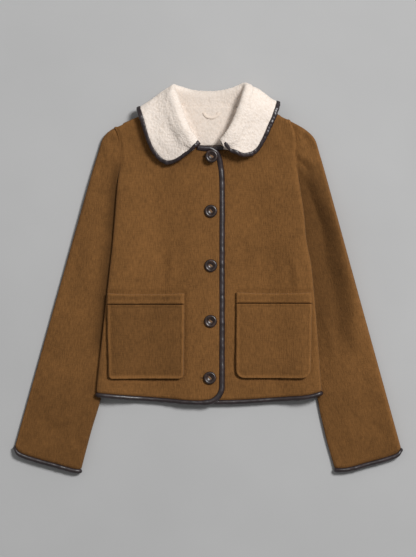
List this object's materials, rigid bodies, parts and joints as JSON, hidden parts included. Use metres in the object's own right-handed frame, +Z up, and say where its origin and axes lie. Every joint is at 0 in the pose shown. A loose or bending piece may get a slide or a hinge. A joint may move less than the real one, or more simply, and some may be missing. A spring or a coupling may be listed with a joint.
{
  "type": "fleece-lined jacket",
  "caption": "Short fleece-lined jacket with a turned-down fleece collar, patch pockets, leather-bound edges and a buttoned front, laid flat on its back.",
  "frame": {"origin": "centre of the laid jacket in plan, on the surface it lies on", "axes": "+Z up from that surface, +Y towards the collar, +X towards the wearer's left sleeve"},
  "size_m": [0.7078, 0.7087, 0.0526],
  "materials": {
    "cord": "brushed fine-wale cotton",
    "fleece": "curly fleece pile",
    "leather": "soft gloss",
    "horn": "polished"
  },
  "bodies": {
    "root": {"back": "cord", "front_right": "cord", "front_left": "cord", "sleeve_right": "cord", "sleeve_left": "cord", "pocket_right": "cord", "pocket_left": "cord", "pocket_band_right": "cord", "pocket_band_left": "cord", "collar": "fleece", "back_lining": "fleece", "hanger_loop": "fleece", "cuff_binding_right": "leather", "cuff_binding_left": "leather", "hem_binding_left": "leather", "hem_binding_back": "leather", "front_binding_right": "leather", "collar_binding": "leather", "button_1": "horn", "button_2": "horn", "button_3": "horn", "button_4": "horn", "button_5": "horn"}
  },
  "joints": []
}
